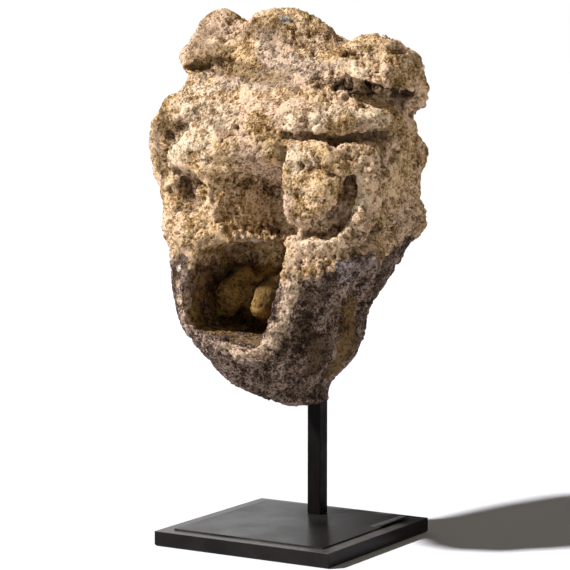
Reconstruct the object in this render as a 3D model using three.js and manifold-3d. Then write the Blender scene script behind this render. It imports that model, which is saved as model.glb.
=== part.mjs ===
// A weathered gargoyle head of yellow sandstone on its display stand, in millimetres, +Z up.
// The head is one carved block: tufts along the crown, a brow, two unlike eyes, the scar where the nose
// broke off, and an open spout mouth with a tongue in it. The stand is a black plate with a thin sheet laid
// on it, and a square bar that goes up into a socket in the stone behind the chin.
// The face looks along -Y. The origin is the middle of the plate's underside.
import * as THREE from "three";
import { mergeVertices } from "three/addons/utils/BufferGeometryUtils.js";
import Module from "manifold-3d";

// Driving dimensions of the stand.
const PLATE_SIDE = 200;
const PLATE_THICK = 15;
const PLATE_CHAMFER = 1.5; // round its foot
const SHEET_SIDE = 172;
const SHEET_THICK = 1.5;
const BAR_SIDE = 15;
const BAR_AT = { x: -5, y: 56 };
const BAR_TOP = 250;
const SOCKET_GAP = 0.3;

// Driving dimensions of the stone: level sections of the block, from the chin up to the crown.
// Each is [height, left, right, front, back], and the block is a smooth run through them.
const SECTIONS = [
  [137, -6, 18, -12, 14],
  [142, -14, 33, -30, 24],
  [150, -30, 32, -46, 33],
  [161, -44, 38, -68, 42],
  [176, -55, 53, -86, 48],
  [191, -62, 66, -101, 51],
  [211, -74, 73, -115, 59],
  [231, -84, 74, -123, 69],
  [256, -95, 85, -122, 88],
  [291, -108, 104, -110, 100],
  [321, -120, 114, -102, 104],
  [356, -129, 120, -100, 102],
  [390, -128, 120, -104, 96],
  [420, -127, 118, -102, 88],
  [455, -104, 102, -80, 76],
  [476, -98, 86, -58, 64],
  [500, -52, 50, -30, 40],
  [511, -16, 14, -4, 18],
];
const CORNER = 3; // how square a section is: 2 is an ellipse

// The carving, in order: forms added to the block and forms cut from it. A ball is { at, half }; a slab
// is { slab, half, turn, round }, a rounded box turned about the vertical; a stroke is { path } with
// points [x, y, z, radius]; a hewn form is { planes, round } with a point on each plane and its outward
// direction. Each melts into the rest by blend.
const CARVING = [
  // The neck behind, which holds the bar.
  { path: [[-6, 48, 196, 30], [-4, 50, 300, 56]], blend: 20 },
  // The tufts along the crown, from left to right.
  { path: [[-96, -28, 480, 17], [-72, -38, 489, 15], [-46, -46, 487, 12]], blend: 6 },
  { at: [-66, -22, 496], half: [27, 25, 27], blend: 8 },
  { at: [-80, -30, 494], half: [16, 17, 18], blend: 10 },
  { path: [[-81, -24, 494, 13], [-68, -18, 511, 17], [-60, -14, 505, 17]], blend: 8 },
  { path: [[-74, -18, 508, 18], [-54, 34, 488, 20]], blend: 10 },
  { at: [-6, -16, 494], half: [42, 38, 36], blend: 12 },
  { path: [[13, -12, 503, 23], [27, -8, 493, 25]], blend: 8 },
  { path: [[4, 0, 500, 24], [8, 44, 478, 26]], blend: 12 },
  { cut: true, path: [[-34, -44, 522, 5], [-18, -54, 504, 6], [-10, -60, 488, 4]], blend: 6 },
  { path: [[56, -44, 472, 9], [76, -26, 479, 17], [92, 0, 484, 21]], blend: 8 },
  { path: [[107, 26, 470, 23], [108, 40, 447, 20]], blend: 6 },
  { at: [104, 4, 466], half: [17, 22, 16], blend: 8 },
  {
    planes: [
      [100, -42, 468, 0.44, -0.69, 0.57],
      [88, 0, 459, -0.3, 0, -0.95],
      [74, 0, 0, -0.95, -0.3, 0],
      [130, 0, 466, 0.97, 0, 0.24],
      [0, 16, 0, 0, 1, 0],
      [0, 0, 501, 0, 0, 1],
    ],
    round: 12,
    blend: 7,
  },
  { cut: true, path: [[120, -26, 495, 5], [120, 4, 491, 6]], blend: 4 },
  // The undercuts and the shallow furrow below them.
  {
    cut: true,
    path: [[-84, -53, 471, 4], [-76, -51, 472, 7], [-58, -54, 473, 8], [-38, -64, 472, 5]],
    blend: 4,
  },
  {
    cut: true,
    path: [[-38, -64, 472, 5], [6, -74, 466, 6], [46, -76, 463, 6], [70, -66, 459, 5]],
    blend: 8,
  },
  {
    cut: true,
    path: [
      [72, -62, 458, 3], [86, -44, 455, 6], [100, -32, 452, 8], [114, -22, 449, 9], [126, -8, 445, 9],
      [118, 14, 440, 8],
    ],
    blend: 3,
  },
  // The brow, and its end that curls down past the eye on the left.
  {
    path: [[-88, -74, 432, 14], [-109, -64, 412, 14], [-118, -58, 392, 12], [-116, -56, 372, 10]],
    blend: 12,
  },
  {
    path: [[20, -91, 423, 13], [60, -84, 422, 14], [96, -56, 422, 14], [116, -16, 420, 14]],
    blend: 12,
  },
  {
    cut: true,
    path: [
      [-63, -100, 418, 6], [-74, -97, 408, 8], [-85, -92, 398, 9], [-93, -86, 380, 8],
      [-94, -87, 366, 6],
    ],
    blend: 7,
  },
  {
    cut: true,
    path: [[44, -106, 409, 5], [60, -101, 409, 6], [76, -95, 407, 6], [92, -84, 403, 8]],
    blend: 4,
  },
  {
    cut: true,
    path: [
      [92, -84, 403, 8], [105, -69, 406, 7], [115, -46, 409, 10], [121, -24, 409, 7],
      [126, -4, 408, 9],
    ],
    blend: 4,
  },
  {
    cut: true,
    path: [[110, -64, 386, 5], [117, -44, 388, 9], [121, -24, 388, 6], [126, 6, 394, 8]],
    blend: 5,
  },
  { at: [98, 64, 386], half: [15, 24, 19], blend: 10 },
  { at: [94, 70, 321], half: [14, 24, 20], blend: 10 },
  // The eye on the left: a heavy lid above a hollow.
  {
    path: [[-76, -84, 384, 14], [-58, -90, 394, 15], [-34, -94, 398, 16], [-12, -98, 396, 13]],
    blend: 10,
  },
  { at: [-64, -76, 318], half: [34, 28, 26], blend: 14 },
  { cut: true, at: [-66, -102, 351], half: [27, 25, 22], blend: 7 },
  // The scar where the nose broke off, which runs back into a deep crease beside the other eye, and the
  // thin lip that is left between it and the mouth.
  {
    cut: true,
    planes: [
      [-40, -110, 350, -0.8, 0.585, -0.12],
      [61, 0, 0, 1, 0, 0],
      [0, -42, 0, 0, 1, 0],
      [-34, -104, 384, -0.06, 0.45, 0.88],
      [-37, 0, 337, -0.74, 0, -0.67],
      [0, 0, 288, 0, 0, -1],
    ],
    round: 9,
    blend: 5,
  },
  { cut: true, path: [[45, -94, 384, 5], [49, -101, 400, 3]], blend: 8 },
  { path: [[-27, -103, 313, 6], [-8, -77, 309, 7], [12, -48, 303, 6]], blend: 8 },
  // The eye on the right: a flat boss, with a hollow curving round it inside a raised rim.
  {
    path: [[112, -60, 380, 10], [114, -60, 352, 12], [108, -66, 330, 12], [96, -74, 309, 11]],
    blend: 6,
  },
  { path: [[97, -74, 312, 10], [80, -85, 306, 11], [58, -94, 305, 11]], blend: 6 },
  {
    path: [[62, -100, 283, 12], [82, -88, 281, 13], [101, -68, 283, 13], [113, -36, 296, 10]],
    blend: 12,
  },
  { at: [110, -38, 373], half: [14, 28, 15], blend: 10 },
  { slab: [69, -70, 358], half: [31, 28, 38], turn: 18, round: 17, blend: 4 },
  { at: [77, -89, 358], half: [26, 13, 29], blend: 6 },
  {
    cut: true,
    path: [[104, -69, 369, 7], [101, -69, 354, 11], [96, -73, 338, 12], [88, -84, 323, 11]],
    blend: 3,
  },
  { cut: true, path: [[92, -82, 325, 11], [80, -92, 320, 8], [62, -100, 318, 5]], blend: 3 },
  { cut: true, path: [[120, -36, 346, 7], [124, -20, 351, 9], [125, -8, 357, 6]], blend: 5 },
  // The step below the cheek, down to the jaw.
  { cut: true, path: [[66, -116, 256, 9], [85, -100, 256, 12], [104, -74, 260, 11]], blend: 5 },
  // The lips, round the mouth.
  { path: [[60, -96, 296, 9], [62, -104, 268, 9], [56, -108, 244, 10], [46, -112, 218, 12]], blend: 8 },
  {
    path: [[-44, -106, 224, 11], [-16, -115, 212, 14], [14, -116, 206, 15], [46, -109, 208, 12]],
    blend: 10,
  },
  { path: [[-58, -92, 296, 8], [-62, -96, 262, 8], [-54, -100, 236, 9]], blend: 8 },
  // The open mouth, and the tongue's two lobes in it.
  {
    cut: true,
    planes: [
      [-54, 0, 262, -1, 0, 0],
      [-43, 0, 294, -0.74, 0, 0.67],
      [54, -110, 290, 0.977, 0, -0.21],
      [0, 0, 304, 0, 0, 1],
      [0, 0, 212, -0.2, 0, -1],
      [0, -34, 0, 0, 1, 0],
    ],
    round: 16,
    blend: 5,
  },
  { at: [-6, -30, 250], half: [40, 22, 28], blend: 8 },
  { path: [[-25, -49, 267, 11], [-36, -54, 251, 17], [-45, -52, 239, 13]], blend: 5 },
  { path: [[14, -54, 265, 10], [5, -57, 251, 14], [-1, -56, 240, 12]], blend: 4 },
];

const GRID_STEP = 5.6; // of the grid that the stone is first meshed on
const STONE_TRIANGLES = 9400; // what that mesh is thinned to

const smoothMin = (a, b, k) => Math.min(a, b) - (Math.max(k - Math.abs(a - b), 0) ** 2 / k) * 0.25;
const smoothMax = (a, b, k) => -smoothMin(-a, -b, k);

// A value on a smooth curve through the sections' column at height z (Catmull-Rom).
function alongSections(column, z) {
  const last = SECTIONS.length - 1;
  let i = 0;
  while (i < last - 1 && z > SECTIONS[i + 1][0]) i += 1;
  const at = (j) => SECTIONS[Math.min(Math.max(j, 0), last)];
  const [p0, p1, p2, p3] = [at(i - 1), at(i), at(i + 1), at(i + 2)];
  const span = p2[0] - p1[0];
  const t = THREE.MathUtils.clamp((z - p1[0]) / span, 0, 1);
  const slope = (a, b) => (b[0] === a[0] ? 0 : ((b[column] - a[column]) / (b[0] - a[0])) * span);
  const [m1, m2] = [slope(p0, p2), slope(p1, p3)];
  return (
    (2 * t ** 3 - 3 * t ** 2 + 1) * p1[column] +
    (t ** 3 - 2 * t ** 2 + t) * m1 +
    (3 * t ** 2 - 2 * t ** 3) * p2[column] +
    (t ** 3 - t ** 2) * m2
  );
}

// Distances, negative inside.
function blockDistance(x, y, z) {
  const [left, right, front, back] = [1, 2, 3, 4].map((column) => alongSections(column, z));
  const [w, depth] = [(right - left) / 2, (back - front) / 2];
  const across = Math.abs((x - (left + right) / 2) / w) ** CORNER;
  const along = Math.abs((y - (front + back) / 2) / depth) ** CORNER;
  const side = ((across + along) ** (1 / CORNER) - 1) * Math.min(w, depth);
  const [low, high] = [SECTIONS[0][0], SECTIONS[SECTIONS.length - 1][0]];
  return smoothMax(side, Math.max(low - z, z - high), 6);
}

function ballDistance({ at, half }, x, y, z) {
  const [px, py, pz] = [x - at[0], y - at[1], z - at[2]];
  const k0 = Math.hypot(px / half[0], py / half[1], pz / half[2]);
  const k1 = Math.hypot(px / half[0] ** 2, py / half[1] ** 2, pz / half[2] ** 2);
  return k1 > 0 ? (k0 * (k0 - 1)) / k1 : -Math.min(...half);
}

function strokeDistance({ path }, x, y, z) {
  let nearest = Infinity;
  for (let i = 1; i < path.length; i += 1) {
    const [a, b] = [path[i - 1], path[i]];
    const [dx, dy, dz] = [b[0] - a[0], b[1] - a[1], b[2] - a[2]];
    const [px, py, pz] = [x - a[0], y - a[1], z - a[2]];
    const t = THREE.MathUtils.clamp((px * dx + py * dy + pz * dz) / (dx * dx + dy * dy + dz * dz), 0, 1);
    const gap = Math.hypot(px - t * dx, py - t * dy, pz - t * dz) - (a[3] + t * (b[3] - a[3]));
    nearest = Math.min(nearest, gap);
  }
  return nearest;
}

function slabDistance({ slab, half, turn, round }, x, y, z) {
  const angle = THREE.MathUtils.degToRad(turn);
  const [cos, sin] = [Math.cos(angle), Math.sin(angle)];
  const [px, py] = [x - slab[0], y - slab[1]];
  const local = [px * cos + py * sin, py * cos - px * sin, z - slab[2]];
  const q = local.map((v, i) => Math.abs(v) - half[i] + round);
  return Math.hypot(...q.map((v) => Math.max(v, 0))) + Math.min(Math.max(...q), 0) - round;
}

function hewnDistance({ planes, round }, x, y, z) {
  const sides = planes.map(([px, py, pz, nx, ny, nz]) => (x - px) * nx + (y - py) * ny + (z - pz) * nz);
  return sides.reduce((a, b) => smoothMax(a, b, round));
}

function formDistance(form, x, y, z) {
  if (form.path) return strokeDistance(form, x, y, z);
  if (form.slab) return slabDistance(form, x, y, z);
  return form.planes ? hewnDistance(form, x, y, z) : ballDistance(form, x, y, z);
}

function stoneDistance(x, y, z) {
  let d = blockDistance(x, y, z);
  for (const form of CARVING) {
    const here = formDistance(form, x, y, z);
    d = form.cut ? smoothMax(d, -here, form.blend) : smoothMin(d, here, form.blend);
  }
  return d;
}

// Points and triangles of the closed surface where the field crosses zero inside a box: a point in each
// grid cell that the surface passes through, and two triangles across each grid edge that crosses it.
function surfaceOf(field, low, high, step) {
  const count = low.map((v, axis) => Math.ceil((high[axis] - v) / step) + 1);
  const at = (axis, n) => low[axis] + n * step;
  const strides = [1, count[0], count[0] * count[1]];
  const values = new Float64Array(count[0] * count[1] * count[2]);
  const eachCell = (from, visit) => {
    for (let k = from; k < count[2] - 1; k += 1)
      for (let j = from; j < count[1] - 1; j += 1)
        for (let i = from; i < count[0] - 1; i += 1) visit([i, j, k], i + j * strides[1] + k * strides[2]);
  };
  values.fill(1);
  eachCell(0, ([i, j, k], cell) => {
    values[cell] = field(at(0, i), at(1, j), at(2, k));
  });

  const corners = [...Array(8).keys()].map((c) => [c & 1, (c >> 1) & 1, c >> 2]);
  const steps = corners.map((c) => c[0] + c[1] * strides[1] + c[2] * strides[2]);
  unpinch(values, eachCell, steps);
  const edges = corners.flatMap((_, a) => [1, 2, 4].filter((bit) => !(a & bit)).map((bit) => [a, a | bit]));
  const points = [];
  const pointOf = new Map();
  eachCell(0, (place, cell) => {
    const v = steps.map((offset) => values[cell + offset]);
    const crossed = edges.filter(([a, b]) => v[a] < 0 !== v[b] < 0);
    if (!crossed.length) return;
    const middle = new THREE.Vector3();
    for (const [a, b] of crossed) {
      const t = v[a] / (v[a] - v[b]);
      const mix = (axis) => at(axis, place[axis] + corners[a][axis] * (1 - t) + corners[b][axis] * t);
      middle.add(new THREE.Vector3(mix(0), mix(1), mix(2)));
    }
    pointOf.set(cell, points.length);
    points.push(ontoSurface(field, middle.divideScalar(crossed.length), step / 2));
  });

  const triangles = [];
  eachCell(1, (_, cell) => {
    for (const axis of [0, 1, 2]) {
      const inside = values[cell] < 0;
      if (inside === values[cell + strides[axis]] < 0) continue;
      const [u, v] = [strides[(axis + 1) % 3], strides[(axis + 2) % 3]];
      const [a, b, c, d] = [cell - u - v, cell - v, cell, cell - u].map((n) => pointOf.get(n));
      const across = points[a].distanceTo(points[c]) <= points[b].distanceTo(points[d]);
      const pair = across ? [[a, b, c], [a, c, d]] : [[a, b, d], [b, c, d]];
      triangles.push(...pair.map(([p, q, r]) => (inside ? [p, q, r] : [p, r, q])));
    }
  });
  return { points, triangles };
}

// Two sheets of surface in one cell would pinch it. That is when a face's corners alternate, or when two
// opposite corners differ from all the rest, and then the cell's weakest outer corner is filled.
function unpinch(values, eachCell, steps) {
  const faces = [[1, 2, 4], [2, 4, 1], [4, 1, 2]].flatMap(([u, v, w]) =>
    [0, w].map((n) => [n, n | u, n | u | v, n | v]),
  );
  const pinched = [...Array(256).keys()].map((mask) => {
    const [a, b, c, d] = [0, 1, 2, 3].map((n) => (1 << n) | (1 << (7 - n)));
    if ([a, b, c, d].some((pair) => mask === pair || mask === 255 - pair)) return true;
    const filled = (n) => (mask >> n) & 1;
    return faces.some(
      ([p, q, r, t]) => filled(p) === filled(r) && filled(q) === filled(t) && filled(p) !== filled(q),
    );
  });
  for (let found = true; found; ) {
    found = false;
    eachCell(0, (_, cell) => {
      let mask = 0;
      for (let n = 0; n < 8; n += 1) if (values[cell + steps[n]] < 0) mask |= 1 << n;
      if (!pinched[mask]) return;
      const outer = steps.filter((offset) => values[cell + offset] >= 0);
      const weakest = outer.reduce((m, n) => (values[cell + n] < values[cell + m] ? n : m));
      values[cell + weakest] = -0.1;
      found = true;
    });
  }
}

// Moves a point along the field's slope onto its zero surface, but no farther than reach.
function ontoSurface(field, start, reach) {
  const [point, e] = [start.clone(), 0.5];
  for (let n = 0; n < 3; n += 1) {
    const { x, y, z } = point;
    const slope = new THREE.Vector3(
      field(x + e, y, z) - field(x - e, y, z),
      field(x, y + e, z) - field(x, y - e, z),
      field(x, y, z + e) - field(x, y, z - e),
    ).divideScalar(2 * e);
    point.addScaledVector(slope, -field(x, y, z) / Math.max(slope.lengthSq(), 0.2));
  }
  return start.clone().add(point.sub(start).clampLength(0, reach));
}

// Merges neighbouring points, where the surface bends least, until few enough triangles are left. Each
// point keeps a quadric: the summed squared distance from the planes of the triangles merged into it.
function thinned({ points, triangles }, target) {
  const normalOf = (face, moved = new Map()) => {
    const [a, b, c] = face.map((n) => moved.get(n) ?? points[n]);
    return b.clone().sub(a).cross(c.clone().sub(a));
  };
  const quadrics = points.map(() => new Float64Array(11));
  const facesOf = points.map(() => []);
  triangles.forEach((face, f) => {
    const normal = normalOf(face);
    const area = normal.length() / 2;
    normal.normalize();
    const plane = [normal.x, normal.y, normal.z, -normal.dot(points[face[0]])];
    for (const n of face) {
      facesOf[n].push(f);
      let slot = 0;
      for (let i = 0; i < 4; i += 1)
        for (let j = i; j < 4; j += 1) quadrics[n][slot++] += area * plane[i] * plane[j] * (i === j ? 1 : 2);
      quadrics[n][10] += area;
    }
  });
  const misfit = (a, b, { x, y, z }) => {
    const terms = [x * x, x * y, x * z, x, y * y, y * z, y, z * z, z, 1];
    const sum = terms.reduce((total, term, i) => total + term * (quadrics[a][i] + quadrics[b][i]), 0);
    return sum / (quadrics[a][10] + quadrics[b][10]);
  };
  const alive = triangles.map(() => true);
  const ring = (n) => new Set(facesOf[n].flatMap((f) => triangles[f]).filter((m) => m !== n));

  // Whether b can merge into a at that point without a fold or a pinch.
  const canMerge = (a, b, point) => {
    const around = ring(b);
    if ([...ring(a)].filter((n) => around.has(n)).length !== 2) return false;
    const moved = new Map([[a, point], [b, point]]);
    return [...facesOf[a], ...facesOf[b]].every((f) => {
      if (triangles[f].includes(a) && triangles[f].includes(b)) return true;
      const [before, after] = [normalOf(triangles[f]), normalOf(triangles[f], moved)];
      return before.dot(after) > 0.5 * before.length() * after.length() && after.length() > 2;
    });
  };
  const merge = (a, b, point) => {
    points[a] = point;
    quadrics[a] = quadrics[a].map((v, i) => v + quadrics[b][i]);
    for (const f of facesOf[b]) {
      if (triangles[f].includes(a)) alive[f] = false;
      else triangles[f] = triangles[f].map((n) => (n === b ? a : n));
    }
    facesOf[a] = [...new Set([...facesOf[a], ...facesOf[b]])].filter((f) => alive[f]);
    for (const n of ring(a)) facesOf[n] = facesOf[n].filter((f) => alive[f]);
    facesOf[b] = [];
  };

  let left = triangles.length;
  for (let limit = 0.002; left > target; limit *= 1.3)
    for (let f = 0; f < triangles.length && left > target; f += 1)
      for (let side = 0; side < 3 && alive[f]; side += 1) {
        const [a, b] = [triangles[f][side], triangles[f][(side + 1) % 3]];
        const length = points[a].distanceTo(points[b]);
        const middle = points[a].clone().lerp(points[b], 0.5);
        const cost = (p) => misfit(a, b, p) + 0.0004 * length ** 2;
        const best = [points[a], points[b], middle].reduce((p, q) => (cost(q) < cost(p) ? q : p));
        if (cost(best) > limit || !canMerge(a, b, best)) continue;
        merge(a, b, best.clone());
        left -= 2;
      }
  return { points, triangles: triangles.filter((_, f) => alive[f]) };
}

const wasm = await Module();
wasm.setup();

// A closed three.js geometry as a solid that can be cut, and back again.
function solidOf(geometry) {
  const bare = new THREE.BufferGeometry().setAttribute("position", geometry.attributes.position);
  const merged = mergeVertices(bare.setIndex(geometry.index), 1e-4);
  return new wasm.Manifold(
    new wasm.Mesh({
      numProp: 3,
      vertProperties: Float32Array.from(merged.attributes.position.array),
      triVerts: Uint32Array.from(merged.index.array),
    }),
  );
}

function geometryOf(solid) {
  const mesh = solid.getMesh();
  const geometry = new THREE.BufferGeometry();
  geometry.setAttribute("position", new THREE.BufferAttribute(mesh.vertProperties, 3));
  geometry.setIndex(new THREE.BufferAttribute(mesh.triVerts, 1));
  const faceted = geometry.toNonIndexed();
  faceted.computeVertexNormals();
  return faceted;
}

// The stone, with the bar's socket cut up into it.
function stoneGeometry() {
  const fine = surfaceOf(stoneDistance, [-152, -162, 126], [152, 122, 540], GRID_STEP);
  const { points, triangles } = thinned(fine, STONE_TRIANGLES);
  const geometry = new THREE.BufferGeometry();
  const onto = points.flatMap((point) => ontoSurface(stoneDistance, point, 1.5).toArray());
  geometry.setAttribute("position", new THREE.Float32BufferAttribute(onto, 3));
  geometry.setIndex(triangles.flat());
  const side = BAR_SIDE + 2 * SOCKET_GAP;
  const bore = new THREE.BoxGeometry(side, side, BAR_TOP + SOCKET_GAP);
  bore.translate(BAR_AT.x, BAR_AT.y, (BAR_TOP + SOCKET_GAP) / 2);
  return geometryOf(solidOf(geometry).subtract(solidOf(bore)));
}

// A square plate whose foot is chamfered.
function plateGeometry() {
  const geometry = new THREE.BoxGeometry(PLATE_SIDE, PLATE_SIDE, PLATE_THICK, 1, 1, 2);
  const position = geometry.attributes.position;
  const foot = 1 - (2 * PLATE_CHAMFER) / PLATE_SIDE;
  for (let i = 0; i < position.count; i += 1) {
    const level = Math.sign(Math.round(position.getZ(i)));
    const shrink = level < 0 ? foot : 1;
    const height = [0, PLATE_CHAMFER, PLATE_THICK][level + 1];
    position.setXYZ(i, position.getX(i) * shrink, position.getY(i) * shrink, height);
  }
  geometry.computeVertexNormals();
  return geometry;
}

const sandstone = new THREE.MeshStandardMaterial({ color: 0xbfa27a, roughness: 0.95, metalness: 0 });
const paintedSteel = new THREE.MeshStandardMaterial({ color: 0x1a1817, roughness: 0.4, metalness: 0 });
const paintedPlate = new THREE.MeshStandardMaterial({ color: 0x221f1e, roughness: 0.4, metalness: 0 });
const paintedSheet = new THREE.MeshStandardMaterial({ color: 0x262322, roughness: 0.35, metalness: 0 });

const gargoyle = new THREE.Group();
function add(name, geometry, material, x, y, z) {
  const mesh = new THREE.Mesh(geometry, material);
  mesh.name = name;
  mesh.position.set(x, y, z);
  gargoyle.add(mesh);
}

const barFoot = PLATE_THICK + SHEET_THICK;
const barLength = BAR_TOP - barFoot;
add("stone_head", stoneGeometry(), sandstone, 0, 0, 0);
add("base_plate", plateGeometry(), paintedPlate, 0, 0, 0);
const sheet = new THREE.BoxGeometry(SHEET_SIDE, SHEET_SIDE, SHEET_THICK);
add("top_sheet", sheet, paintedSheet, 0, 0, PLATE_THICK + SHEET_THICK / 2);
const bar = new THREE.BoxGeometry(BAR_SIDE, BAR_SIDE, barLength);
add("support_bar", bar, paintedSteel, BAR_AT.x, BAR_AT.y, barFoot + barLength / 2);

export default gargoyle;
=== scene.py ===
"""A weathered gargoyle head of yellow sandstone on its black display stand."""
import math

import bmesh
import bpy
import numpy as np
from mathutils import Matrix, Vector, noise


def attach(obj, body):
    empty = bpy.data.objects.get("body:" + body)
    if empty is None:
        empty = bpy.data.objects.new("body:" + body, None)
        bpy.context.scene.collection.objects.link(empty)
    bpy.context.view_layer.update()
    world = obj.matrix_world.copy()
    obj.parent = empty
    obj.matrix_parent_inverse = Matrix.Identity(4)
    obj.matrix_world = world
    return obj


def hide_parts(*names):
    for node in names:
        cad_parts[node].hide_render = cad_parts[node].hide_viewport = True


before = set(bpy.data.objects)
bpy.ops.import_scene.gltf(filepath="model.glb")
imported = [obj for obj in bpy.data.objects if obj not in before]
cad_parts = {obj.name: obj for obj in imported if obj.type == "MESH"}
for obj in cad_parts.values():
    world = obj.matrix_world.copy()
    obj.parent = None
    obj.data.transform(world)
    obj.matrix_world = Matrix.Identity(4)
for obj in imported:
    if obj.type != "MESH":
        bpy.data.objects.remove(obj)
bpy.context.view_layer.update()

# The stone head. It is one block of coarse yellow sandstone, hewn with a point and then worn by rain and
# frost until the grains stand proud. Its surface is worked from the solid's own carving, in millimetres,
# with the chips, pits and hollows that are too small for the solid cut into it.


def smooth_min(a, b, reach):
    return np.minimum(a, b) - np.maximum(reach - np.abs(a - b), 0) ** 2 / reach * 0.25


def smooth_max(a, b, reach):
    return -smooth_min(-a, -b, reach)


def ball(middle, half):
    middle, half = np.array(middle, float), np.array(half, float)

    def gap(at):
        near = np.linalg.norm((at - middle) / half, axis=1)
        steep = np.linalg.norm((at - middle) / half**2, axis=1)
        return near * (near - 1) / np.maximum(steep, 1e-9)

    return gap, middle - half, middle + half


def stroke(*path):
    path = np.array(path, float)

    def gap(at):
        nearest = np.full(len(at), np.inf)
        for a, b in zip(path, path[1:]):
            run = b[:3] - a[:3]
            t = np.clip((at - a[:3]) @ run / (run @ run), 0, 1)
            away = np.linalg.norm(at - a[:3] - t[:, None] * run, axis=1)
            nearest = np.minimum(nearest, away - (a[3] + t * (b[3] - a[3])))
        return nearest

    return gap, (path[:, :3] - path[:, 3:]).min(0), (path[:, :3] + path[:, 3:]).max(0)


def slab(middle, half, turn, rounding):
    middle, half = np.array(middle, float), np.array(half, float)
    cos, sin = math.cos(math.radians(turn)), math.sin(math.radians(turn))

    def gap(at):
        x, y, z = (at - middle).T
        q = np.abs(np.stack([x * cos + y * sin, y * cos - x * sin, z], axis=1)) - half + rounding
        return np.linalg.norm(np.maximum(q, 0), axis=1) + np.minimum(q.max(1), 0) - rounding

    return gap, middle - np.linalg.norm(half), middle + np.linalg.norm(half)


def hewn(*planes, rounding):
    planes = np.array(planes, float)

    def gap(at):
        sides = [(at - plane[:3]) @ plane[3:] for plane in planes]
        most = sides[0]
        for side in sides[1:]:
            most = smooth_max(most, side, rounding)
        return most

    return gap, np.full(3, -np.inf), np.full(3, np.inf)


# Level sections of the block: height, left, right, front, back.
sections = np.array([
    (137, -6, 18, -12, 14),
    (142, -14, 33, -30, 24),
    (150, -30, 32, -46, 33),
    (161, -44, 38, -68, 42),
    (176, -55, 53, -86, 48),
    (191, -62, 66, -101, 51),
    (211, -74, 73, -115, 59),
    (231, -84, 74, -123, 69),
    (256, -95, 85, -122, 88),
    (291, -108, 104, -110, 100),
    (321, -120, 114, -102, 104),
    (356, -129, 120, -100, 102),
    (390, -128, 120, -104, 96),
    (420, -127, 118, -102, 88),
    (455, -104, 102, -80, 76),
    (476, -98, 86, -58, 64),
    (500, -52, 50, -30, 40),
    (511, -16, 14, -4, 18),
])

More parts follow.
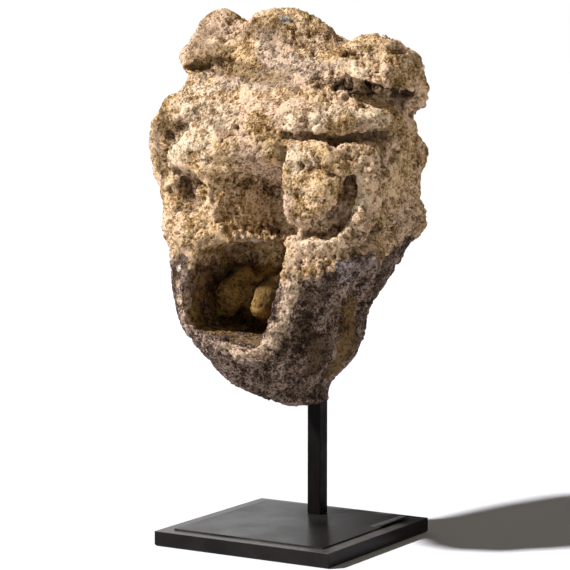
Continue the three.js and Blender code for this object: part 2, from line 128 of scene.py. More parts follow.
# The carving in order, each form added or cut and melting into the rest by its blend.
carving = [
    # The neck behind, which holds the bar.
    ("add", 20, stroke((-6, 48, 196, 30), (-4, 50, 300, 56))),
    # The tufts along the crown, from left to right.
    ("add", 6, stroke((-96, -28, 480, 17), (-72, -38, 489, 15), (-46, -46, 487, 12))),
    ("add", 8, ball((-66, -22, 496), (27, 25, 27))),
    ("add", 10, ball((-80, -30, 494), (16, 17, 18))),
    ("add", 8, stroke((-81, -24, 494, 13), (-68, -18, 511, 17), (-60, -14, 505, 17))),
    ("add", 10, stroke((-74, -18, 508, 18), (-54, 34, 488, 20))),
    ("add", 12, ball((-6, -16, 494), (42, 38, 36))),
    ("add", 8, stroke((13, -12, 503, 23), (27, -8, 493, 25))),
    ("add", 12, stroke((4, 0, 500, 24), (8, 44, 478, 26))),
    ("cut", 6, stroke((-34, -44, 522, 5), (-18, -54, 504, 6), (-10, -60, 488, 4))),
    ("add", 8, stroke((56, -44, 472, 9), (76, -26, 479, 17), (92, 0, 484, 21))),
    ("add", 6, stroke((107, 26, 470, 23), (108, 40, 447, 20))),
    ("add", 8, ball((104, 4, 466), (17, 22, 16))),
    ("add", 7, hewn(
        (100, -42, 468, 0.44, -0.69, 0.57), (88, 0, 459, -0.3, 0, -0.95), (74, 0, 0, -0.95, -0.3, 0),
        (130, 0, 466, 0.97, 0, 0.24), (0, 16, 0, 0, 1, 0), (0, 0, 501, 0, 0, 1), rounding=12)),
    ("cut", 4, stroke((120, -26, 495, 5), (120, 4, 491, 6))),
    # The undercuts and the shallow furrow below them.
    ("cut", 4, stroke((-84, -53, 471, 4), (-76, -51, 472, 7), (-58, -54, 473, 8), (-38, -64, 472, 5))),
    ("cut", 8, stroke((-38, -64, 472, 5), (6, -74, 466, 6), (46, -76, 463, 6), (70, -66, 459, 5))),
    ("cut", 3, stroke(
        (72, -62, 458, 3), (86, -44, 455, 6), (100, -32, 452, 8), (114, -22, 449, 9), (126, -8, 445, 9),
        (118, 14, 440, 8))),
    # The brow, and its end that curls down past the eye on the left.
    ("add", 12, stroke(
        (-88, -74, 432, 14), (-109, -64, 412, 14), (-118, -58, 392, 12), (-116, -56, 372, 10))),
    ("add", 12, stroke((20, -91, 423, 13), (60, -84, 422, 14), (96, -56, 422, 14), (116, -16, 420, 14))),
    ("cut", 7, stroke(
        (-63, -100, 418, 6), (-74, -97, 408, 8), (-85, -92, 398, 9), (-93, -86, 380, 8),
        (-94, -87, 366, 6))),
    ("cut", 4, stroke((44, -106, 409, 5), (60, -101, 409, 6), (76, -95, 407, 6), (92, -84, 403, 8))),
    ("cut", 4, stroke(
        (92, -84, 403, 8), (105, -69, 406, 7), (115, -46, 409, 10), (121, -24, 409, 7), (126, -4, 408, 9))),
    ("cut", 5, stroke((110, -64, 386, 5), (117, -44, 388, 9), (121, -24, 388, 6), (126, 6, 394, 8))),
    ("add", 10, ball((98, 64, 386), (15, 24, 19))),
    ("add", 10, ball((94, 70, 321), (14, 24, 20))),
    # The eye on the left: a heavy lid above a hollow.
    ("add", 10, stroke((-76, -84, 384, 14), (-58, -90, 394, 15), (-34, -94, 398, 16), (-12, -98, 396, 13))),
    ("add", 14, ball((-64, -76, 318), (34, 28, 26))),
    ("cut", 7, ball((-66, -102, 351), (27, 25, 22))),
    # The scar where the nose broke off, which runs back into a deep crease beside the other eye, and the
    # thin lip that is left between it and the mouth.
    ("cut", 5, hewn(
        (-40, -110, 350, -0.8, 0.585, -0.12), (61, 0, 0, 1, 0, 0), (0, -42, 0, 0, 1, 0),
        (-34, -104, 384, -0.06, 0.45, 0.88), (-37, 0, 337, -0.74, 0, -0.67), (0, 0, 288, 0, 0, -1),
        rounding=9)),
    ("cut", 8, stroke((45, -94, 384, 5), (49, -101, 400, 3))),
    ("add", 8, stroke((-27, -103, 313, 6), (-8, -77, 309, 7), (12, -48, 303, 6))),
    # The eye on the right: a flat boss, with a hollow curving round it inside a raised rim.
    ("add", 6, stroke((112, -60, 380, 10), (114, -60, 352, 12), (108, -66, 330, 12), (96, -74, 309, 11))),
    ("add", 6, stroke((97, -74, 312, 10), (80, -85, 306, 11), (58, -94, 305, 11))),
    ("add", 12, stroke((62, -100, 283, 12), (82, -88, 281, 13), (101, -68, 283, 13), (113, -36, 296, 10))),
    ("add", 10, ball((110, -38, 373), (14, 28, 15))),
    ("add", 4, slab((69, -70, 358), (31, 28, 38), turn=18, rounding=17)),
    ("add", 6, ball((77, -89, 358), (26, 13, 29))),
    ("cut", 3, stroke((104, -69, 369, 7), (101, -69, 354, 11), (96, -73, 338, 12), (88, -84, 323, 11))),
    ("cut", 3, stroke((92, -82, 325, 11), (80, -92, 320, 8), (62, -100, 318, 5))),
    ("cut", 5, stroke((120, -36, 346, 7), (124, -20, 351, 9), (125, -8, 357, 6))),
    # The step below the cheek, down to the jaw.
    ("cut", 5, stroke((66, -116, 256, 9), (85, -100, 256, 12), (104, -74, 260, 11))),
    # The lips, round the mouth.
    ("add", 8, stroke((60, -96, 296, 9), (62, -104, 268, 9), (56, -108, 244, 10), (46, -112, 218, 12))),
    ("add", 10, stroke(
        (-44, -106, 224, 11), (-16, -115, 212, 14), (14, -116, 206, 15), (46, -109, 208, 12))),
    ("add", 8, stroke((-58, -92, 296, 8), (-62, -96, 262, 8), (-54, -100, 236, 9))),
    # The open mouth, and the tongue's two lobes in it.
    ("cut", 5, hewn(
        (-54, 0, 262, -1, 0, 0), (-43, 0, 294, -0.74, 0, 0.67), (54, -110, 290, 0.977, 0, -0.21),
        (0, 0, 304, 0, 0, 1), (0, 0, 212, -0.2, 0, -1), (0, -34, 0, 0, 1, 0), rounding=16)),
    ("add", 8, ball((-6, -30, 250), (40, 22, 28))),
    ("add", 5, stroke((-25, -49, 267, 11), (-36, -54, 251, 17), (-45, -52, 239, 13))),
    ("add", 4, stroke((14, -54, 265, 10), (5, -57, 251, 14), (-1, -56, 240, 12))),
]
section_corner = 3  # how square a section is: 2 is an ellipse

# The bar's socket, from the underside up.
bar_at = (-5, 56)
bar_top = 250
bore_half = 7.8

# Small breaks and hollows that only the photograph's eye for the surface shows.
chips = [
    # The crown: two holes in the middle tuft, and a slot and a nick beside the right one.
    ("cut", 4, ball((17, -50, 508), (7, 5, 4))),
    ("cut", 4, ball((-9, -54, 505), (5, 5, 4))),
    ("cut", 3, stroke((72, -42, 487, 2), (88, -36, 484, 4))),
    ("add", 5, stroke((122, -35, 484, 7), (125, -37, 471, 8))),
    ("cut", 3, stroke((-98, -40, 472, 3), (-84, -43, 472, 5), (-68, -46, 472, 3))),
    # The lower edge of the right tuft, and the undercut below it, cut back into the dark.
    ("add", 4, stroke((84, -56, 466, 3), (98, -53, 465, 4), (112, -49, 462, 5), (126, -40, 458, 5))),
    ("cut", 2, stroke((84, -54, 460, 2), (96, -49, 458, 4), (110, -43, 454, 5), (125, -33, 449, 5))),
    ("cut", 2, stroke((88, -44, 458, 4), (100, -37, 456, 6), (114, -28, 452, 7), (124, -18, 447, 6))),
    ("cut", 2, stroke((92, -34, 457, 4), (106, -24, 454, 6), (118, -12, 450, 7))),
    ("cut", 3, stroke((112, -28, 447, 6), (124, -16, 442, 6), (124, -4, 434, 5))),
    # The hollow of the left eye: its two pits, the bump beside them and a nick below.
    ("cut", 5, stroke((-76, -78, 362, 4), (-71, -78, 346, 4))),
    ("cut", 4, stroke((-66, -84, 340, 3), (-56, -90, 337, 4))),
    ("add", 7, ball((-52, -84, 353), (8, 5, 8))),
    ("cut", 4, ball((-92, -86, 350), (5, 8, 5))),
    ("cut", 4, ball((-80, -92, 370), (8, 7, 5))),
    ("cut", 3, stroke((-84, -94, 338, 2), (-74, -97, 331, 3))),
    # The broken top of the scar: the lumps that hang into it, with the pits between them.
    ("add", 12, stroke((-36, -94, 378, 9), (-16, -92, 380, 9), (2, -88, 383, 6))),
    ("cut", 3, ball((6, -90, 372), (5, 8, 4))),
    # The corner of the mouth below the left cheek, rounded back into the cavity.
    ("cut", 9, stroke((-52, -113, 282, 5), (-36, -112, 296, 6), (-16, -112, 305, 6))),
    # The left edge of the scar, frayed into steps.
    ("cut", 4, ball((-29, -102, 352), (6, 9, 9))),
    ("cut", 4, ball((-22, -100, 330), (6, 9, 7))),
    # The foot of the scar, which ends in a thin edge over the mouth.
    ("cut", 6, stroke((-12, -100, 319, 5), (-2, -88, 318, 8), (8, -72, 317, 9), (16, -58, 316, 7))),
    # The slit across the boss of the right eye, the pocket at its corner and the worn lumps on it.
    ("cut", 1, stroke((60, -101, 382, 2), (72, -99, 379, 4), (86, -94, 378, 3))),
    ("cut", 3, ball((103, -66, 364), (8, 9, 6))),
    ("add", 5, ball((66, -98, 366), (9, 6, 7))),
    ("add", 7, ball((86, -88, 388), (14, 8, 8))),
    ("add", 6, stroke((62, -95, 399, 5), (74, -93, 401, 6), (88, -89, 398, 7))),
    ("add", 6, ball((80, -94, 392), (18, 8, 9))),
    ("add", 6, stroke((96, -88, 388, 7), (104, -84, 380, 8), (114, -76, 378, 5))),
    ("cut", 5, stroke((106, -84, 362, 4), (104, -88, 350, 4), (96, -92, 338, 4))),
    ("add", 5, ball((121, -76, 333), (8, 8, 9))),
    ("add", 5, ball((64, -96, 342), (10, 7, 9))),
    ("cut", 4, ball((76, -104, 348), (7, 4, 5))),
    # The right rim of that eye, thickened outwards, and the rough lump that joins it to the brow.
    ("add", 12, stroke((118, -58, 384, 7), (122, -52, 356, 8), (118, -52, 334, 8), (110, -60, 318, 8))),
    ("add", 12, stroke((98, -72, 396, 7), (114, -56, 394, 8), (124, -40, 394, 8))),
    ("add", 5, ball((122, -64, 371), (8, 8, 9))),
    ("add", 5, ball((129, -48, 371), (6, 8, 9))),
    ("cut", 6, ball((122, -14, 346), (7, 11, 9))),
    # The roll of the brow and its frayed underside.
    ("add", 8, stroke((60, -93, 420, 9), (88, -80, 421, 10), (108, -60, 422, 10), (122, -32, 424, 9))),
    ("add", 5, ball((118, -54, 424), (10, 8, 8))),
    ("cut", 4, stroke((50, -97, 410, 3), (57, -97, 408, 3), (66, -93, 410, 3), (76, -90, 408, 3))),
    ("cut", 4, stroke((76, -90, 408, 3), (84, -84, 406, 4), (92, -75, 401, 6), (99, -62, 405, 6))),
    ("cut", 4, stroke((99, -60, 406, 4), (104, -50, 412, 4), (111, -38, 408, 4), (119, -14, 412, 4))),
    ("cut", 3, ball((116, -46, 386), (8, 9, 5))),
    ("cut", 3, ball((122, -14, 388), (8, 9, 5))),
]


def along_sections(column, z):
    heights, values = sections[:, 0], sections[:, column]
    i = np.clip(np.searchsorted(heights, z, side="right") - 1, 0, len(heights) - 2)
    before, after = np.maximum(i - 1, 0), np.minimum(i + 2, len(heights) - 1)
    span = heights[i + 1] - heights[i]
    t = np.clip((z - heights[i]) / span, 0, 1)
    rise = (values[i + 1] - values[before]) / (heights[i + 1] - heights[before]) * span
    next_rise = (values[after] - values[i]) / (heights[after] - heights[i]) * span
    held = (2 * t**3 - 3 * t**2 + 1) * values[i] + (3 * t**2 - 2 * t**3) * values[i + 1]
    return held + (t**3 - 2 * t**2 + t) * rise + (t**3 - t**2) * next_rise


def stone_gap(at):
    """Distance from the stone's surface, negative inside."""
    x, y, z = at.T
    left, right, front, back = (along_sections(column, z) for column in (1, 2, 3, 4))
    wide, deep = (right - left) / 2, (back - front) / 2
    across = np.abs((x - (left + right) / 2) / wide) ** section_corner
    through = np.abs((y - (front + back) / 2) / deep) ** section_corner
    side = ((across + through) ** (1 / section_corner) - 1) * np.minimum(wide, deep)
    ends = np.maximum(sections[0, 0] - z, z - sections[-1, 0])
    total = smooth_max(side, ends, 6)
    for kind, blend, (gap, low, high) in carving + chips:
        margin = blend + 12
        near = ((at > low - margin) & (at < high + margin)).all(1)
        here = gap(at[near])
        if kind == "cut":
            total[near] = smooth_max(total[near], -here, blend)
        else:
            total[near] = smooth_min(total[near], here, blend)
    bore = np.maximum(np.abs(x - bar_at[0]), np.abs(y - bar_at[1])) - bore_half
    return smooth_max(total, -np.maximum(bore, z - bar_top - 0.3), 0.3)


# The fine surface: the solid's mesh on an even grid, drawn onto the carving along its own slope.
grid = 0.00222
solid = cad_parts["stone_head"].data.copy()
shell = bmesh.new()
shell.from_mesh(solid)
bmesh.ops.remove_doubles(shell, verts=shell.verts, dist=1e-6)
shell.to_mesh(solid)
shell.free()
rough_stone = bpy.data.objects.new("rough_stone", solid)
bpy.context.scene.collection.objects.link(rough_stone)
remesh = rough_stone.modifiers.new("even_grid", "REMESH")
remesh.mode = "VOXEL"
remesh.voxel_size = grid
bpy.context.view_layer.update()
even = rough_stone.evaluated_get(bpy.context.evaluated_depsgraph_get())
stone_mesh = bpy.data.meshes.new_from_object(even)
stone_mesh.name = "weathered_stone"
bpy.data.objects.remove(rough_stone)

count = len(stone_mesh.vertices)
edges = np.zeros(len(stone_mesh.edges) * 2, int)
stone_mesh.edges.foreach_get("vertices", edges)
edges = edges.reshape(-1, 2)
neighbours = np.bincount(edges.ravel(), minlength=count)


def evened(values):
    """The mean of each point's neighbours."""
    total = np.zeros_like(values)
    np.add.at(total, edges[:, 0], values[edges[:, 1]])
    np.add.at(total, edges[:, 1], values[edges[:, 0]])
    return total / (neighbours[:, None] if values.ndim > 1 else neighbours)


def points_of(mesh):
    flat = np.zeros(count * 3)
    mesh.vertices.foreach_get("co", flat)
    return flat.reshape(-1, 3) * 1000


def set_points(mesh, points):
    mesh.vertices.foreach_set("co", (points / 1000).ravel())
    mesh.update()


def normals_of(mesh):
    flat = np.zeros(count * 3)
    mesh.vertices.foreach_get("normal", flat)
    return flat.reshape(-1, 3)


points = points_of(stone_mesh)
for turn in range(5):
    points = points + 0.5 * (evened(points) - points)
    set_points(stone_mesh, points)
    normals = normals_of(stone_mesh)
    for step in range(2):
        gap = stone_gap(points)
        slope = (stone_gap(points + normals * 0.4) - gap) / 0.4
        move = -gap / np.maximum(slope, 0.35)
        points = points + normals * np.clip(move, -2.5, 2.5)[:, None]
    set_points(stone_mesh, points)


def noise_at(points, size, seed, octaves=3):
    """Fractal noise, about -1 to 1, with features of that size in millimetres."""
    shift = Vector((seed * 17.3, seed * 7.1, seed * 3.7))
    return np.array([noise.fractal(Vector(p) / size + shift, 0.8, 2.0, octaves) for p in points])


def smooth_step(low, high, values):
    t = np.clip((values - low) / (high - low), 0, 1)
    return t * t * (3 - 2 * t)


def laid_over(forms, reach, wander, seed):
    """How far each point lies within the forms, from 0 to 1, with an edge that wanders."""
    nearest = np.full(count, np.inf)
    for gap, low, high in forms:
        nearest = np.minimum(nearest, gap(points))
    return smooth_step(reach, -reach, nearest + wander * noise_at(points, 13, seed))


def hollowness(rounds):
    """How far each point lies below the mean of its surroundings, in millimetres."""
    mean = points
    for turn in range(rounds):
        mean = evened(mean)
    return ((mean - points) * normals).sum(1)


# Where the surface differs: the flat flake above the left eye, the washed mouth and the flat crown.
normals = normals_of(stone_mesh)
mouth_form = [form for kind, blend, form in carving if kind == "cut"][-1]
mouth = laid_over([mouth_form], 9, 2, 21) * smooth_step(-112, -98, points[:, 1])
flake = laid_over([ball((-63, -103, 398), (15, 12, 10))], 2, 2, 22)
calm = np.maximum(flake, 0.75 * mouth)
calm = np.maximum(calm, 0.5 * laid_over([stroke((10, -56, 486, 12), (60, -50, 474, 14))], 6, 6, 23))
calm = np.maximum(calm, 0.7 * laid_over([stroke((-4, -80, 344, 12), (8, -66, 336, 10))], 6, 6, 24))
calm = np.maximum(calm, 0.55 * laid_over([stroke((-74, -98, 406, 12), (-34, -106, 408, 12))], 8, 6, 32))

# Weathering: shallow swells, the open grain, pits where grains and pebbles fell out, and the grains.
swell = noise_at(points, 26, 1)
grain = smooth_step(-0.55, 0.2, noise_at(points, 9.5, 2))
fine = smooth_step(-0.6, 0.3, noise_at(points, 4.2, 5, 2))
cells = [noise.voronoi(Vector(p) / 7.5)[0][0] for p in points]
pits = np.maximum(0, 1 - np.array(cells) / 0.4)
rough = smooth_step(-0.4, 0.4, noise_at(points, 34, 3, 2))
relief = 3.4 * (grain - 0.7) + 2.4 * (fine - 0.65) - 3.6 * pits * rough
relief = 1.2 * swell + relief * (0.55 + 0.45 * rough) * (1 - 0.75 * calm) - 0.9
beside_bore = np.maximum(np.abs(points[:, 0] - bar_at[0]), np.abs(points[:, 1] - bar_at[1])) - bore_half
relief *= 1 - smooth_step(2.0, 0.8, np.abs(beside_bore)) * (points[:, 2] < bar_top + 3)
set_points(stone_mesh, points + normals * relief[:, None])
points = points_of(stone_mesh)
normals = normals_of(stone_mesh)

# What has coloured the stone, with the painted shade and highlights laid over it, each part as a value from 0 to 1
# that the material reads.
crust_edge = 275 + 6 * noise_at(points, 22, 11) + 5 * noise_at(points, 7, 12)
crust_edge += 14 * smooth_step(-30, -66, points[:, 0])
crust_edge += 13 * smooth_step(86, 100, points[:, 0])
crust_edge += 18 * smooth_step(98, 124, points[:, 0] + 0.4 * points[:, 1])
crust_and_shade = smooth_step(7, -7, points[:, 2] - crust_edge)
# Painted shadow in the undercuts below the tufts, laid into both the crust and the shade layers.
undercut_shade = laid_over([
    stroke((84, -56, 455, 4), (97, -46, 456, 6), (112, -38, 452, 7), (126, -26, 447, 8)),
    stroke((-98, -44, 471, 2), (-84, -47, 472, 4), (-68, -48, 472, 2)),
    ball((119, 12, 447), (12, 14, 7)),
], 4, 3, 38)
crust_and_shade = np.maximum(crust_and_shade, undercut_shade)
rubbed = [
    stroke((66, -110, 272, 8), (62, -114, 246, 8), (50, -120, 216, 9), (14, -122, 211, 7)),
    stroke((14, -122, 211, 7), (-14, -122, 213, 4)),
    stroke((14, -129, 200, 8), (34, -126, 200, 10), (46, -122, 206, 6)),
    stroke((-50, -110, 228, 6), (-64, -104, 262, 7)),
]
rubbed = laid_over(rubbed, 6, 5, 25)
crust_and_shade *= 1 - 0.75 * rubbed
rusty = laid_over([stroke((78, -24, 238, 15), (72, -14, 205, 19), (56, -6, 176, 17))], 8, 10, 26)
crust_and_shade *= 1 - 0.25 * rusty
film = laid_over([
    stroke((4, -52, 506, 6), (2, -58, 484, 11), (46, -52, 474, 14), (66, -50, 470, 8)),
    stroke((-92, -48, 462, 4), (-46, -70, 462, 6), (-6, -80, 455, 7), (44, -72, 452, 6)),
    stroke((-114, -52, 398, 8), (-112, -62, 364, 8)),
], 13, 13, 27)
film = np.maximum(film, 0.8 * rubbed)
# Paler cream stone; on the right eye's rim and boss these strokes also paint light onto faces the key lamp leaves dim.
cream = laid_over([
    stroke((-78, -98, 398, 16), (-34, -106, 402, 14)),
    stroke((-66, -90, 434, 13), (-14, -96, 424, 13)),
    stroke((-96, -58, 450, 8), (-44, -80, 448, 9)),
    stroke((88, -52, 480, 12), (110, -42, 474, 12)),
    stroke((60, -98, 425, 9), (94, -76, 428, 10), (122, -48, 426, 10)),
    stroke((114, -70, 372, 8), (114, -74, 342, 8), (100, -86, 316, 8), (70, -98, 312, 8)),
    ball((64, -102, 388), (20, 12, 13)),
    ball((84, -92, 352), (10, 8, 10)),
], 12, 9, 34)
lavender = laid_over([
    stroke((102, -78, 287, 7), (114, -60, 286, 10), (117, -44, 282, 9)),
    stroke((98, -78, 274, 8), (94, -74, 258, 6)),
], 5, 8, 28)
# Whitish spots on the stone; the thin strokes along the scar's left edge and its foot are painted highlights on lit
# edges.
pale = laid_over([
    ball((19, -38, 519), (9, 9, 4)),
    ball((129, 31, 473), (4, 5, 4)),
    stroke((-37, -108, 364, 2), (-33, -104, 340, 2), (-20, -100, 320, 2)),
    stroke((-13, -102, 316, 1.5), (-2, -78, 307, 2), (12, -50, 301, 2)),
    ball((-67, -104, 278), (3, 5, 3)),
    ball((-56, -84, 352), (5, 5, 4)),
], 2, 3, 29)
pale = np.maximum(pale, 0.35 * flake)
# Painted shade, with some real dirt: darker in hollows and along the strokes below, which mostly lie where shade
# falls.
shade_and_dirt = smooth_step(0.25, 1.5, hollowness(3)) * 0.7 + smooth_step(0.6, 4.5, hollowness(40)) * 0.8
shade_and_dirt += 0.8 * laid_over([stroke((68, -92, 226, 8), (68, -60, 196, 13), (56, -50, 172, 12))], 8, 6, 30)
shade_and_dirt += 0.9 * laid_over([ball((12, -56, 262), (20, 22, 26))], 4, 3, 33)
shade_and_dirt += 0.75 * laid_over([
    stroke((-84, -44, 488, 14), (-66, -42, 508, 12)),
    stroke((-24, -50, 510, 14), (20, -46, 516, 14), (52, -42, 502, 12)),
    stroke((-70, -54, 490, 13), (-24, -62, 470, 11), (18, -70, 462, 11), (36, -63, 470, 9)),
    stroke((-30, -102, 421, 6), (-14, -104, 414, 6)),
], 8, 9, 35)
shade_and_dirt += 0.8 * undercut_shade
shade_and_dirt += 0.6 * laid_over([
    stroke((55, -100, 386, 4), (58, -102, 370, 6), (58, -102, 349, 7), (59, -100, 330, 6)),
    stroke((56, -103, 311, 4), (61, -109, 298, 5), (63, -113, 282, 5)),
    stroke((60, -116, 222, 6), (60, -114, 200, 9)),
    stroke((-51, -108, 284, 6), (-35, -106, 299, 7), (-18, -106, 307, 7)),
], 6, 5, 39)
shade_and_dirt += 0.5 * laid_over([stroke((8, -100, 392, 11), (40, -98, 396, 9), (50, -92, 380, 8))], 8, 6, 37)
shade_and_dirt += 1.0 * laid_over([
    stroke((-96, -88, 424, 9), (-108, -80, 400, 10), (-106, -80, 366, 8)),
    stroke((-56, -96, 429, 7), (-76, -94, 419, 9), (-92, -88, 410, 8), (-92, -90, 386, 7)),
    stroke((-72, -102, 272, 8), (-66, -106, 294, 7), (-36, -106, 310, 6)),
    stroke((-84, -86, 352, 8), (-66, -90, 340, 8)),
], 8, 8, 31)
pitting = (0.3 + 0.7 * rough) * (1 - 0.8 * calm)
# Painted shade on the far right side and on faces turned right, away from the key lamp.
shade_and_dirt += 0.2 * smooth_step(94, 122, points[:, 0]) * smooth_step(470, 440, points[:, 2])
facing_right = smooth_step(0.6, 0.95, normals[:, 0]) * smooth_step(80, 112, points[:, 0])
shade_and_dirt += 0.35 * facing_right * smooth_step(350, 320, points[:, 2])
for name, values in {
    "pitting": pitting, "cream": cream, "crust_and_shade": crust_and_shade, "film": film, "lavender": lavender, "rusty": rusty,
    "pale": pale, "mouth": mouth, "shade_and_dirt": np.clip(shade_and_dirt, 0, 1),
}.items():
    layer = stone_mesh.attributes.new(name, "FLOAT", "POINT")
    layer.data.foreach_set("value", values)


def add_node(tree, kind, settings=None, links=None):
    """Adds a node, sets its properties and unlinked inputs, and joins its linked ones."""
    node = tree.nodes.new(kind)
    for name, value in (settings or {}).items():
        if name in node.inputs:
            node.inputs[name].default_value = value
        else:
            setattr(node, name, value)
    for name, socket in (links or {}).items():
        tree.links.new(socket, node.inputs[name])
    return node


def linear(code):
    """The linear colour of an sRGB hex value."""
    channels = [int(code[i : i + 2], 16) / 255 for i in (1, 3, 5)]
    return [*(c / 12.92 if c <= 0.04045 else ((c + 0.055) / 1.055) ** 2.4 for c in channels), 1]


def blank_material(name):
    material = bpy.data.materials.new(name)
    material.use_nodes = True
    tree = material.node_tree
    return material, tree, tree.nodes["Principled BSDF"]

# Coarse sandstone. Quartz grains of 1 to 4 mm stand in an ochre ground: pale on their tops and brown in
# the gaps, which gives the dry sparkle of the surface, partly as painted light and shade. Over it lie what
# centuries outdoors have left, with painted shade and highlights among them.
sandstone, tree, shader = blank_material("weathered_sandstone")
place = add_node(tree, "ShaderNodeTexCoord").outputs["Object"]


def noise_value(scale, detail=3.0, rough=0.6):
    settings = {"Scale": scale, "Detail": detail, "Roughness": rough}
    return add_node(tree, "ShaderNodeTexNoise", settings, {"Vector": place}).outputs["Fac"]


def combine(operation, first, second, third=None):
    node = add_node(tree, "ShaderNodeMath", {"operation": operation})
    for socket, value in zip(node.inputs, (first, second, third)):
        if isinstance(value, (int, float)):
            socket.default_value = value
        elif value is not None:
            tree.links.new(value, socket)
    return node.outputs[0]


def spread(value, low, high):
    settings = {"From Min": low, "From Max": high, "interpolation_type": "SMOOTHSTEP"}
    return add_node(tree, "ShaderNodeMapRange", settings, {"Value": value}).outputs["Result"]


def tones(value, *codes):
    """A colour for each value from 0 to 1, through the given ones in turn."""
    node = add_node(tree, "ShaderNodeValToRGB", {}, {"Fac": value})
    steps = node.color_ramp.elements
    while len(steps) < len(codes):
        steps.new(0.5)
    for i, code in enumerate(codes):
        steps[i].position = i / (len(codes) - 1)
        steps[i].color = linear(code)
    return node.outputs["Color"]


def laid(under, over, amount):
    links = {"Factor": amount, "A": under, "B": over}
    return add_node(tree, "ShaderNodeMix", {"data_type": "RGBA"}, links).outputs["Result"]


def layer_of(name, grit, edge=0.5):
    """One of the stone's layers of colour, broken up by the grain at its edge."""
    value = add_node(tree, "ShaderNodeAttribute", {"attribute_name": name}).outputs["Fac"]
    return spread(combine("MULTIPLY_ADD", grit, edge, value), 0.35 + edge / 2, 0.65 + edge / 2)


fine_noise = noise_value(430.0, 3.0, 0.75)
mid_noise = noise_value(190.0, 4.0, 0.7)
patch_noise = noise_value(52.0, 4.0, 0.65)
broad_noise = noise_value(26.0, 3.0, 0.55)
grit = noise_value(200.0, 4.0, 0.75)
pitting = add_node(tree, "ShaderNodeAttribute", {"attribute_name": "pitting"}).outputs["Fac"]
cells = add_node(tree, "ShaderNodeTexVoronoi", {"Scale": 300.0}, {"Vector": place})
lost = combine("MULTIPLY_ADD", patch_noise, -2.4, combine("MULTIPLY_ADD", pitting, 0.4, cells.outputs["Color"]))
pits = combine("MULTIPLY", spread(cells.outputs["Distance"], 0.52, 0.18), spread(lost, -0.65, -0.3))
pitted = combine("MULTIPLY_ADD", patch_noise, 0.9, combine("MULTIPLY_ADD", fine_noise, 0.7, mid_noise))
whole = spread(pitted, 0.86, 1.34)
height = combine("MULTIPLY_ADD", pits, -0.65, combine("MULTIPLY_ADD", fine_noise, 0.6, whole))
# The pale tops and the dark gaps and pits are partly painted light and shade at the grains' scale.
tops = combine("MULTIPLY_ADD", combine("SUBTRACT", fine_noise, 0.5), 0.8, combine("MULTIPLY", whole, 0.8))
tops = combine("MULTIPLY_ADD", pits, -0.28, tops)

ochre = tones(tops, "#6a4619", "#a67c44", "#c6a06b", "#e9cb9c")
rose = tones(tops, "#6b4729", "#a57d58", "#c9a583", "#edd2b4")
hue = combine("MULTIPLY_ADD", mid_noise, 0.5, broad_noise)
colour = laid(ochre, rose, spread(hue, 0.62, 0.9))
cream = tones(tops, "#765430", "#b18d62", "#d4b68e", "#edd9bc")
colour = laid(colour, cream, layer_of("cream", grit, 0.6))
grey = tones(tops, "#54402f", "#8f745b", "#b3967a", "#dcc5aa")
colour = laid(colour, grey, layer_of("film", grit))
shade_and_dirt_value = add_node(tree, "ShaderNodeAttribute", {"attribute_name": "shade_and_dirt"}).outputs["Fac"]
soot_and_shade = tones(tops, "#181009", "#2f2218", "#413025", "#7d6a59")
brown = tones(tops, "#2e1e17", "#523d31", "#6b5346", "#bca693")
# Painted shade also tips the crust towards its darkest soot.
shade_and_soot_mix = combine("MULTIPLY_ADD", shade_and_dirt_value, -0.3, noise_value(48.0, 4.0, 0.6))
soot_and_shade = laid(soot_and_shade, brown, spread(shade_and_soot_mix, 0.34, 0.58))
colour = laid(colour, soot_and_shade, layer_of("crust_and_shade", grit, 0.8))
lilac = tones(tops, "#2b211e", "#51423c", "#6f5e57", "#b0a19b")
colour = laid(colour, lilac, layer_of("lavender", grit, 0.8))
rust = tones(tops, "#241607", "#46331c", "#5f4629", "#8a6f47")
colour = laid(colour, rust, layer_of("rusty", grit, 1.2))
throat = tones(tops, "#38240e", "#6b4d24", "#87652f", "#a58650")
colour = laid(colour, throat, layer_of("mouth", grit, 0.2))
# Whitish spots, and painted highlights along the scar's lit edges.
chalk_and_highlight = tones(tops, "#8f7c66", "#c0ae97", "#ddd2c2", "#f2ece2")
colour = laid(colour, chalk_and_highlight, layer_of("pale", grit, 0.6))
# Painted shade, with some real grime: darkens the colour towards these browns.
shade_and_grime = tones(tops, "#21150a", "#402c17", "#5e4729")
colour = laid(colour, shade_and_grime, combine("MULTIPLY", spread(shade_and_dirt_value, 0.1, 1.1), 0.75))
tree.links.new(colour, shader.inputs["Base Color"])
bump = add_node(tree, "ShaderNodeBump", {"Strength": 1.0, "Distance": 0.0028}, {"Height": height})
tree.links.new(bump.outputs["Normal"], shader.inputs["Normal"])
shader.inputs["Roughness"].default_value = 0.95
shader.inputs["Specular IOR Level"].default_value = 0.2


stone_mesh.materials.clear()
stone_mesh.materials.append(sandstone)
for polygon in stone_mesh.polygons:
    polygon.use_smooth = True
stone = bpy.data.objects.new("weathered_head", stone_mesh)
bpy.context.scene.collection.objects.link(stone)
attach(stone, "root")
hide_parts("stone_head")

# The support bar. Square steel bar of 15 mm, painted black and clean, which holds the head up from the
# plate. Its edges are slightly rounded by the drawing of the steel and by the paint.


def without_flat_edges(node):
    """A copy of a CAD node's mesh as a bmesh with its flat faces whole."""
    body = bmesh.new()
    body.from_mesh(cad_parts[node].data)
    bmesh.ops.remove_doubles(body, verts=body.verts, dist=1e-6)
    bmesh.ops.dissolve_limit(body, angle_limit=math.radians(1), verts=body.verts, edges=body.edges)
    return body


def round_edges(body, width, segments):
    bmesh.ops.bevel(
        body, geom=body.edges[:], offset=width, segments=segments, profile=0.6, affect="EDGES"
    )


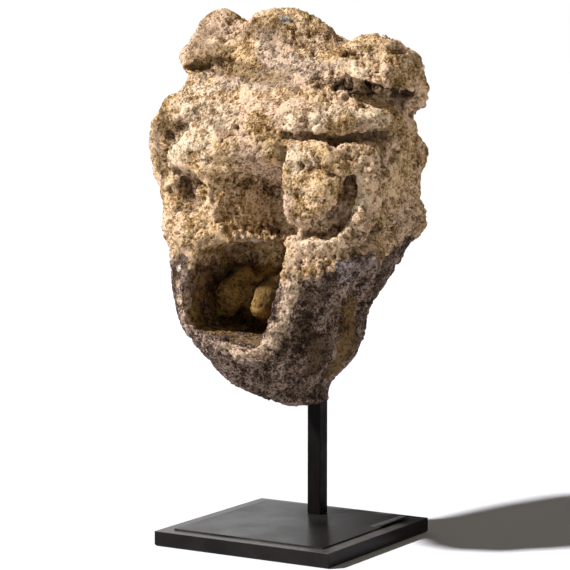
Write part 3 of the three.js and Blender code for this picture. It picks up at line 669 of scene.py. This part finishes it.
def finish_piece(body, name, material, node):
    mesh = bpy.data.meshes.new(name)
    body.to_mesh(mesh)
    body.free()
    mesh.materials.append(material)
    piece = bpy.data.objects.new(name, mesh)
    bpy.context.scene.collection.objects.link(piece)
    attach(piece, "root")
    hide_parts(node)


# Black paint on steel: nearly no colour of its own, and a low soft sheen that varies a little.
bar_paint, tree, shader = blank_material("black_bar_paint")
place = add_node(tree, "ShaderNodeTexCoord").outputs["Object"]
smears = noise_value(60.0, 4.0)
tree.links.new(tones(smears, "#080605", "#15110f"), shader.inputs["Base Color"])
tree.links.new(spread(smears, -0.6, 1.6), shader.inputs["Roughness"])
orange_peel = add_node(
    tree, "ShaderNodeBump", {"Strength": 0.4, "Distance": 0.0002}, {"Height": noise_value(700.0, 2.0)}
)
tree.links.new(orange_peel.outputs["Normal"], shader.inputs["Normal"])
shader.inputs["Specular IOR Level"].default_value = 0.06

bar_body = without_flat_edges("support_bar")
round_edges(bar_body, 0.0009, 3)
finish_piece(bar_body, "painted_bar", bar_paint, "support_bar")

# The plate and the thin sheet laid on it. Both are steel under the same black paint, a little glossier
# than the bar's, with dust lying on the border that the sheet leaves free.
plate_paint, tree, shader = blank_material("dusty_plate_paint")
place = add_node(tree, "ShaderNodeTexCoord").outputs["Object"]
along = add_node(tree, "ShaderNodeSeparateXYZ", {}, {"Vector": place})
off_middle = combine(
    "MAXIMUM", combine("ABSOLUTE", along.outputs["X"], 0), combine("ABSOLUTE", along.outputs["Y"], 0)
)
on_border = combine(
    "MULTIPLY", spread(off_middle, 0.0855, 0.0865), spread(along.outputs["Z"], 0.0144, 0.0148)
)
dust_specks = spread(noise_value(900.0, 3.0, 0.75), 0.48, 0.7)
dust_drift = noise_value(22.0, 4.0)
dust = combine("MULTIPLY", combine("MULTIPLY_ADD", dust_specks, 0.5, 0.5), dust_drift)
dust = combine("MULTIPLY", dust, combine("MULTIPLY_ADD", on_border, 0.75, 0.1))
colour = laid(tones(dust_drift, "#0a0808", "#141110"), tones(dust_drift, "#6f6964", "#a09890"), dust)
tree.links.new(colour, shader.inputs["Base Color"])
tree.links.new(combine("MULTIPLY_ADD", dust_drift, 0.25, 0.2), shader.inputs["Roughness"])
paint_grain = add_node(
    tree, "ShaderNodeBump", {"Strength": 0.3, "Distance": 0.0002}, {"Height": noise_value(520.0, 3.0)}
)
tree.links.new(paint_grain.outputs["Normal"], shader.inputs["Normal"])
shader.inputs["Specular IOR Level"].default_value = 0.07

plate_body = without_flat_edges("base_plate")
round_edges(plate_body, 0.0006, 3)
finish_piece(plate_body, "painted_plate", plate_paint, "base_plate")

# The sheet has come away from the plate along the far part of its right side, from a small kink on.
sheet_body = without_flat_edges("top_sheet")
round_edges(sheet_body, 0.0005, 2)
for axis in (0, 1):
    for step in range(-13, 14):
        at, across = [0, 0, 0], [0, 0, 0]
        at[axis], across[axis] = step * 0.0062, 1
        whole = sheet_body.verts[:] + sheet_body.edges[:] + sheet_body.faces[:]
        bmesh.ops.bisect_plane(sheet_body, geom=whole, plane_co=at, plane_no=across, dist=1e-6)
for vert in sheet_body.verts:
    x, y, z = vert.co * 1000
    lifted = smooth_step(72, 86, x) * smooth_step(24, 31, y)
    vert.co.z += 1.7 * lifted / 1000
finish_piece(sheet_body, "lifting_sheet", plate_paint, "top_sheet")

# The floor is a plain pale ground.
floor_mesh = bpy.data.meshes.new("pale_floor")
ground = bmesh.new()
bmesh.ops.create_grid(ground, x_segments=1, y_segments=1, size=30)
ground.to_mesh(floor_mesh)
ground.free()
floor = bpy.data.objects.new("pale_floor", floor_mesh)
bpy.context.scene.collection.objects.link(floor)
pale, tree, shader = blank_material("pale_ground")
shader.inputs["Base Color"].default_value = (0.72, 0.72, 0.72, 1)
shader.inputs["Roughness"].default_value = 1.0
shader.inputs["Specular IOR Level"].default_value = 0.0
floor_mesh.materials.append(pale)

# The camera stands 2.3 m away, to the right of the face and a little above its middle.
camera_angle = math.radians(31.308)
looks = camera_angle + math.radians(0.2007)
down = math.radians(5.896)
camera = bpy.data.cameras.new("camera")
camera.sensor_width = 36
camera.lens = 148.7
camera.clip_end = 100
camera_object = bpy.data.objects.new("camera", camera)
bpy.context.scene.collection.objects.link(camera_object)
camera_object.location = (2.3275 * math.sin(camera_angle), -2.3275 * math.cos(camera_angle), 0.4969)
ahead = Vector((-math.sin(looks) * math.cos(down), math.cos(looks) * math.cos(down), -math.sin(down)))
camera_object.rotation_euler = ahead.to_track_quat("-Z", "Y").to_euler()
bpy.context.scene.camera = camera_object


def shine(name, side, height, strength, softness, tint):
    """A soft distant lamp at that many degrees round from the camera's left, and that many degrees up."""
    lamp = bpy.data.lights.new(name, "SUN")
    lamp.energy = strength
    lamp.color = tint
    lamp.angle = math.radians(softness)
    body = bpy.data.objects.new(name, lamp)
    bpy.context.scene.collection.objects.link(body)
    around = camera_angle - math.radians(side)
    up = math.radians(height)
    towards = Vector((math.sin(around) * math.cos(up), -math.cos(around) * math.cos(up), math.sin(up)))
    body.rotation_euler = towards.to_track_quat("Z", "Y").to_euler()


shine("key", 72, 42, 6.3, 4, (1.0, 1.0, 1.06))
shine("fill", -50, 22, 0.56, 80, (1.0, 0.89, 0.7))

# A large white card stands behind to the left, and shows as the sheen on the plate.
card = bpy.data.lights.new("back_card", "AREA")
card.shape = "RECTANGLE"
card.size = 1.6
card.size_y = 0.9
card.energy = 8
card_object = bpy.data.objects.new("back_card", card)
bpy.context.scene.collection.objects.link(card_object)
card_object.location = (-1.95, 1.85, 0.72)
card_object.rotation_euler = Vector((-1.95, 1.85, 0.65)).to_track_quat("Z", "Y").to_euler()

# The surroundings: white behind, and dim enough not to flatten the stone.
world = bpy.data.worlds.new("studio")
bpy.context.scene.world = world
world.use_nodes = True
tree = world.node_tree
background = tree.nodes["Background"]
background.inputs["Color"].default_value = (1, 1, 1, 1)
seen = add_node(tree, "ShaderNodeLightPath")
level = add_node(tree, "ShaderNodeMapRange", {"To Min": 0.05, "To Max": 1.0}, {"Value": seen.outputs["Is Camera Ray"]})
tree.links.new(level.outputs["Result"], background.inputs["Strength"])
bpy.context.scene.view_settings.view_transform = "Standard"
